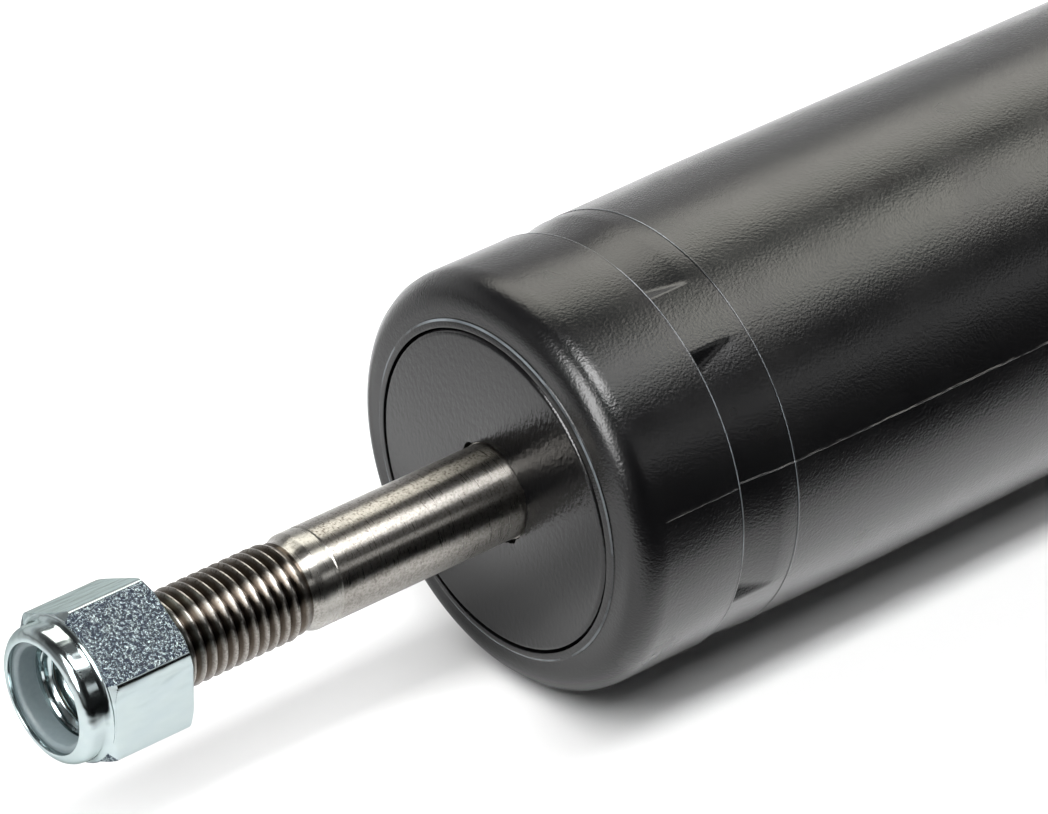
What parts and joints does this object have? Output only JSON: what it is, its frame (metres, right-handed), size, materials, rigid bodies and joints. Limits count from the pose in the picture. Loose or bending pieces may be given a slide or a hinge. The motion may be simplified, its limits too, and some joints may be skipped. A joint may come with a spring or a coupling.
{
  "type": "telescopic shock absorber",
  "caption": "Twin-tube shock absorber with a rubber-bushed eye at the foot, a moulded dust cover over the rod and a threaded stem with a nylon-ringed lock nut.",
  "frame": {"origin": "Centre of the eye's bolt hole at the foot, on the axis of the rod", "axes": "+X along the rod from the eye to the tip of the threaded stem, +Y along the eye's bolt hole, +Z across both"},
  "size_m": [0.5735, 0.054, 0.054],
  "materials": {
    "painted_steel": "semi-gloss dark grey paint with a fine orange peel",
    "ground_steel": "satin ground steel",
    "zinc_plated_steel": "bright bluish zinc plating",
    "nylon": "matte grey nylon",
    "grained_plastic": "black plastic with a fine moulded grain",
    "rubber": "matte black rubber",
    "plain_steel": "plain drawn and rolled steel",
    "sintered_iron": "grey sintered iron",
    "bronze": "bronze bearing bush",
    "band_plastic": "low-friction sealing band"
  },
  "bodies": {
    "cylinder": {"eye_ring": "painted_steel", "eye_bush": "rubber", "base_cap": "painted_steel", "reservoir_tube": "painted_steel", "pressure_tube": "plain_steel", "base_valve_body": "sintered_iron", "base_valve_bolt": "plain_steel", "base_valve_nut": "plain_steel", "compression_disc": "plain_steel", "compression_backing_disc": "plain_steel", "intake_spring": "plain_steel", "rod_guide": "sintered_iron", "guide_bush": "bronze", "guide_o_ring": "rubber", "rod_seal": "rubber", "garter_spring": "plain_steel", "seal_washer": "plain_steel"},
    "bush_sleeve": {"eye_sleeve": "plain_steel"},
    "intake_valve": {"intake_plate": "plain_steel"},
    "band": {"piston_band": "band_plastic"},
    "rod": {"piston_rod": "ground_steel", "rebound_stop": "plain_steel", "rebound_bumper": "rubber", "piston": "sintered_iron", "valve_sleeve": "plain_steel", "check_spring": "plain_steel", "check_stop": "plain_steel", "rebound_spring": "plain_steel", "piston_nut": "plain_steel", "cover_cup": "painted_steel", "dust_cover": "grained_plastic"},
    "check_valve": {"check_plate": "plain_steel"},
    "rebound_valve": {"rebound_disc": "plain_steel", "rebound_backing_disc": "plain_steel", "spring_seat": "plain_steel"},
    "nut_ring": {"lock_nut_insert": "nylon"},
    "nut": {"lock_nut": "zinc_plated_steel"}
  },
  "joints": [
    {"name": "rod_slide", "type": "slide", "parent": "cylinder", "child": "band", "axis": [1, 0, 0], "range_m": [-0.145, 0]},
    {"name": "rod_spin", "type": "hinge", "parent": "band", "child": "rod", "pos_m": [0.3, 0, 0], "axis": [1, 0, 0], "continuous": true},
    {"name": "bush_twist", "type": "hinge", "parent": "cylinder", "child": "bush_sleeve", "pos_m": [0, 0, 0], "axis": [0, 1, 0], "range_deg": [-20, 20], "stiffness_Nm_per_rad": 40},
    {"name": "intake_lift", "type": "slide", "parent": "cylinder", "child": "intake_valve", "axis": [1, 0, 0], "range_m": [0, 0.0008], "stiffness_N_per_m": 1500, "springref_m": -0.0005, "deforming": ["intake_spring"]},
    {"name": "check_lift", "type": "slide", "parent": "rod", "child": "check_valve", "axis": [1, 0, 0], "range_m": [0, 0.001], "stiffness_N_per_m": 2000, "springref_m": -0.0005, "deforming": ["check_spring"]},
    {"name": "rebound_lift", "type": "slide", "parent": "rod", "child": "rebound_valve", "axis": [-1, 0, 0], "range_m": [0, 0.001], "stiffness_N_per_m": 40000, "springref_m": -0.002, "deforming": ["rebound_spring"]},
    {"name": "nut_travel", "type": "slide", "parent": "rod", "child": "nut_ring", "axis": [1, 0, 0], "range_m": [-0.0181, 0.0091]},
    {"name": "nut_turn", "type": "hinge", "parent": "nut_ring", "child": "nut", "pos_m": [0.547, 0, 0], "axis": [1, 0, 0], "range_deg": [-4320, 2160]}
  ],
  "couplings": [
    {"joint": "nut_travel", "follows": "nut_turn", "m_per_rad": 0.00023873}
  ]
}
